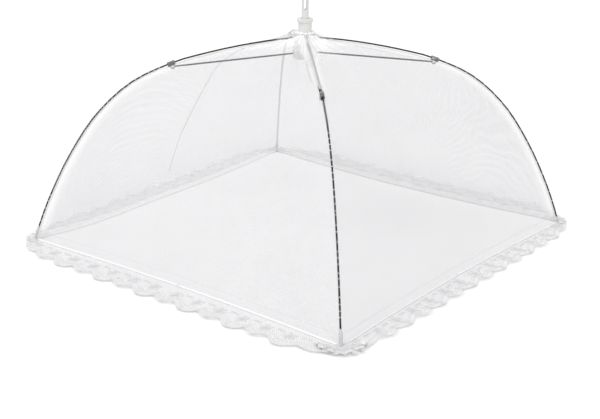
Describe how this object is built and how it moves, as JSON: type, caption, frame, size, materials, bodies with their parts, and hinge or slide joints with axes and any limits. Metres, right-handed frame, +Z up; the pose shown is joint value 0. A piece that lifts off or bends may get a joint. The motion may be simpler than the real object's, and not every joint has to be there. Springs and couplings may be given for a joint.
{
  "type": "mesh food cover umbrella",
  "caption": "Square pop-up mesh food cover tent on folding wire ribs with stretchers, a sliding runner, a pull post and a scalloped lace hem.",
  "frame": {"origin": "on the table under the crown, at the centre of the square", "axes": "+Z up along the pull post; the ribs lie at 45, 135, 225 and 315 degrees from +X about +Z, and the hems run along X and Y"},
  "size_m": [0.489, 0.517, 0.275],
  "materials": {
    "hub_plastic": "satin moulded white plastic",
    "tip_plastic": "moulded white plastic",
    "rib_wire": "dark plated spring wire",
    "pin_steel": "bright pins and rivets",
    "net": "fine white see-through net",
    "tape": "woven white binding tape",
    "lace": "white scalloped lace"
  },
  "bodies": {
    "crown_and_net": {"crown": "hub_plastic", "top_cap": "hub_plastic", "apex_washer": "tape", "crown_pin_1": "pin_steel", "crown_pin_2": "pin_steel", "crown_pin_3": "pin_steel", "crown_pin_4": "pin_steel", "mesh_gore_1": "net", "mesh_gore_2": "net", "mesh_gore_3": "net", "mesh_gore_4": "net", "hem_band_1": "tape", "hem_band_2": "tape", "hem_band_3": "tape", "hem_band_4": "tape", "lace_trim_1": "lace", "lace_trim_2": "lace", "lace_trim_3": "lace", "lace_trim_4": "lace"},
    "runner_and_post": {"runner": "hub_plastic", "pull_post": "hub_plastic"},
    "rib_arm_1": {"rib_1": "rib_wire", "rib_clip_1": "rib_wire", "clip_rivet_1": "pin_steel", "rib_tip_1": "tip_plastic", "seam_binding_1": "tape"},
    "stretcher_arm_1": {"stretcher_1": "rib_wire"},
    "rib_arm_2": {"rib_2": "rib_wire", "rib_clip_2": "rib_wire", "clip_rivet_2": "pin_steel", "rib_tip_2": "tip_plastic", "seam_binding_2": "tape"},
    "stretcher_arm_2": {"stretcher_2": "rib_wire"},
    "rib_arm_3": {"rib_3": "rib_wire", "rib_clip_3": "rib_wire", "clip_rivet_3": "pin_steel", "rib_tip_3": "tip_plastic", "seam_binding_3": "tape"},
    "stretcher_arm_3": {"stretcher_3": "rib_wire"},
    "rib_arm_4": {"rib_4": "rib_wire", "rib_clip_4": "rib_wire", "clip_rivet_4": "pin_steel", "rib_tip_4": "tip_plastic", "seam_binding_4": "tape"},
    "stretcher_arm_4": {"stretcher_4": "rib_wire"}
  },
  "joints": [
    {"name": "rib_1_fold", "type": "hinge", "parent": "crown_and_net", "child": "rib_arm_1", "pos_m": [0.00743, 0.00743, 0.228], "axis": [-0.7071, 0.7071, 0], "range_deg": [0, 48], "deforming": ["mesh_gore_1", "hem_band_1", "lace_trim_1"]},
    {"name": "rib_2_fold", "type": "hinge", "parent": "crown_and_net", "child": "rib_arm_2", "pos_m": [-0.00743, 0.00743, 0.228], "axis": [-0.7071, -0.7071, 0], "range_deg": [0, 48], "deforming": ["mesh_gore_2", "hem_band_2", "lace_trim_2"]},
    {"name": "rib_3_fold", "type": "hinge", "parent": "crown_and_net", "child": "rib_arm_3", "pos_m": [-0.00743, -0.00743, 0.228], "axis": [0.7071, -0.7071, 0], "range_deg": [0, 48], "deforming": ["mesh_gore_3", "hem_band_3", "lace_trim_3"]},
    {"name": "rib_4_fold", "type": "hinge", "parent": "crown_and_net", "child": "rib_arm_4", "pos_m": [0.00743, -0.00743, 0.228], "axis": [0.7071, 0.7071, 0], "range_deg": [0, 48], "deforming": ["mesh_gore_4", "hem_band_4", "lace_trim_4"]},
    {"name": "stretcher_1_hinge", "type": "hinge", "parent": "rib_arm_1", "child": "stretcher_arm_1", "pos_m": [0.10327, 0.10327, 0.19791], "axis": [-0.7071, 0.7071, 0], "range_deg": [-113.5, 0]},
    {"name": "stretcher_2_hinge", "type": "hinge", "parent": "rib_arm_2", "child": "stretcher_arm_2", "pos_m": [-0.10327, 0.10327, 0.19791], "axis": [-0.7071, -0.7071, 0], "range_deg": [-113.5, 0]},
    {"name": "stretcher_3_hinge", "type": "hinge", "parent": "rib_arm_3", "child": "stretcher_arm_3", "pos_m": [-0.10327, -0.10327, 0.19791], "axis": [0.7071, -0.7071, 0], "range_deg": [-113.5, 0]},
    {"name": "stretcher_4_hinge", "type": "hinge", "parent": "rib_arm_4", "child": "stretcher_arm_4", "pos_m": [0.10327, -0.10327, 0.19791], "axis": [0.7071, 0.7071, 0], "range_deg": [-113.5, 0]},
    {"name": "runner_slide", "type": "slide", "parent": "crown_and_net", "child": "runner_and_post", "axis": [0, 0, -1], "range_m": [0, 0.222]}
  ],
  "couplings": [
    {"joint": "rib_2_fold", "follows": "rib_1_fold", "ratio": 1},
    {"joint": "rib_3_fold", "follows": "rib_1_fold", "ratio": 1},
    {"joint": "rib_4_fold", "follows": "rib_1_fold", "ratio": 1},
    {"joint": "stretcher_1_hinge", "follows": "rib_1_fold", "ratio": -2.3623},
    {"joint": "stretcher_2_hinge", "follows": "rib_1_fold", "ratio": -2.3623},
    {"joint": "stretcher_3_hinge", "follows": "rib_1_fold", "ratio": -2.3623},
    {"joint": "stretcher_4_hinge", "follows": "rib_1_fold", "ratio": -2.3623},
    {"joint": "runner_slide", "follows": "rib_1_fold", "m_per_rad": 0.26457}
  ]
}
